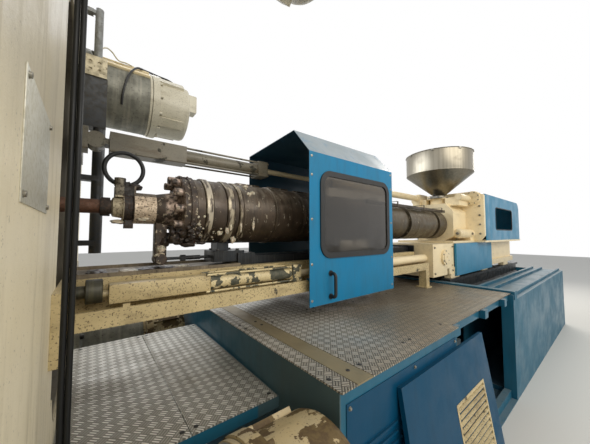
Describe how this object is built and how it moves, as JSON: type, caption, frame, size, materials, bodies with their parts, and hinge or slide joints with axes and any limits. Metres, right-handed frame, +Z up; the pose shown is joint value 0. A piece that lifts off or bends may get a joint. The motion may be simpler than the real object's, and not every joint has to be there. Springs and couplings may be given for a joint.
{
  "type": "injection moulding machine",
  "caption": "Large two-platen injection moulding machine with hydraulic clamp, screw injection unit on a sliding carriage, purge guard and conical hopper on a welded base.",
  "frame": {"origin": "on the floor, on the centreline, under the fixed platen's mould face, in the bed's sole plate", "axes": "+X along the injection axis from the mould towards the hopper, +Z up, the operator stands on the -Y side"},
  "size_m": [13.45, 4.032, 3.608],
  "materials": {
    "blue_enamel": "worn gloss enamel",
    "cream_enamel": "chipped gloss enamel",
    "cream_casting": "dusty enamel over cast iron",
    "grey_casting": "oily painted steel",
    "steel": "ground",
    "oiled_steel": "heat-stained",
    "heater_sheet": "burnt, crusted with plastic",
    "chromed_steel": "ground and chromed",
    "dark_steel": "oily dark enamel",
    "bronze": "machined",
    "tread_aluminium": "five-bar tread, dirty",
    "stainless_sheet": "rolled and brushed",
    "rubber": "matt",
    "clear_pane": "smoky polycarbonate"
  },
  "bodies": {
    "machine_frame": {"clamp_bed": "blue_enamel", "bed_ways": "steel", "fixed_platen": "cream_casting", "tie_bar_upper_front": "chromed_steel", "tie_bar_upper_rear": "chromed_steel", "tie_bar_lower_front": "chromed_steel", "tie_bar_lower_rear": "chromed_steel", "clamp_cylinder_upper_front": "grey_casting", "clamp_cylinder_upper_rear": "grey_casting", "clamp_cylinder_lower_front": "grey_casting", "clamp_cylinder_lower_rear": "grey_casting", "cylinder_caps": "cream_enamel", "tie_bar_frame": "blue_enamel", "fixed_guards": "blue_enamel", "injection_base": "blue_enamel", "louvre_panel": "blue_enamel", "tread_plates": "tread_aluminium", "removed_cover": "blue_enamel", "cover_grille": "cream_enamel", "guard_track_front": "cream_enamel", "guard_track_rear": "cream_enamel", "drip_tray": "steel", "pull_cylinder_front": "cream_enamel", "pull_cylinder_rear": "cream_enamel", "slide_rails": "steel", "platen_manifold": "dark_steel", "power_unit": "dark_steel", "stroke_rods": "chromed_steel"},
    "operator_door": {"operator_door": "blue_enamel", "operator_door_pane": "clear_pane"},
    "rear_door": {"rear_door": "blue_enamel"},
    "moving_platen": {"moving_platen": "cream_casting", "nut_housings": "dark_steel", "stroke_cylinders": "dark_steel", "ejector_cylinder": "dark_steel"},
    "front_half_nuts": {"front_half_nuts": "bronze"},
    "rear_half_nuts": {"rear_half_nuts": "bronze"},
    "ejector": {"ejector_plate": "steel"},
    "carriage": {"carriage_frame": "cream_enamel", "carriage_covers": "blue_enamel", "feed_housing": "cream_enamel", "barrel": "oiled_steel", "end_cap": "oiled_steel", "nozzle": "oiled_steel", "nozzle_hose": "rubber", "heater_bands_front": "heater_sheet", "heater_bands_middle": "heater_sheet", "heater_bands_rear": "heater_sheet", "barrel_support": "dark_steel", "drive_enclosure": "blue_enamel", "hopper": "stainless_sheet", "pull_rods": "cream_enamel"},
    "hopper_gate": {"hopper_gate": "steel"},
    "crosshead": {"crosshead": "dark_steel", "drive_motor": "dark_steel"},
    "screw": {"screw": "steel"},
    "purge_guard": {"purge_guard": "blue_enamel", "guard_window": "clear_pane", "guard_seal": "rubber", "guard_handle": "rubber"}
  },
  "joints": [
    {"name": "platen_close", "type": "slide", "parent": "machine_frame", "child": "moving_platen", "axis": [1, 0, 0], "range_m": [0, 1.4]},
    {"name": "front_nut_close", "type": "slide", "parent": "moving_platen", "child": "front_half_nuts", "axis": [0, 1, 0], "range_m": [0, 0.06]},
    {"name": "rear_nut_close", "type": "slide", "parent": "moving_platen", "child": "rear_half_nuts", "axis": [0, -1, 0], "range_m": [0, 0.06]},
    {"name": "ejector_stroke", "type": "slide", "parent": "moving_platen", "child": "ejector", "axis": [1, 0, 0], "range_m": [0, 0.18]},
    {"name": "operator_door_slide", "type": "slide", "parent": "machine_frame", "child": "operator_door", "axis": [-1, 0, 0], "range_m": [0, 2.3]},
    {"name": "rear_door_slide", "type": "slide", "parent": "machine_frame", "child": "rear_door", "axis": [-1, 0, 0], "range_m": [0, 2.3]},
    {"name": "carriage_retract", "type": "slide", "parent": "machine_frame", "child": "carriage", "axis": [1, 0, 0], "range_m": [0, 0.6]},
    {"name": "hopper_gate_slide", "type": "slide", "parent": "carriage", "child": "hopper_gate", "axis": [-1, 0, 0], "range_m": [0, 0.17]},
    {"name": "screw_retract", "type": "slide", "parent": "carriage", "child": "crosshead", "axis": [1, 0, 0], "range_m": [0, 0.5]},
    {"name": "screw_spin", "type": "hinge", "parent": "crosshead", "child": "screw", "pos_m": [6, 0, 1.95], "axis": [1, 0, 0], "continuous": true},
    {"name": "purge_guard_slide", "type": "slide", "parent": "machine_frame", "child": "purge_guard", "axis": [-1, 0, 0], "range_m": [0, 1.15]}
  ],
  "couplings": [
    {"joint": "rear_nut_close", "follows": "front_nut_close", "ratio": 1}
  ]
}
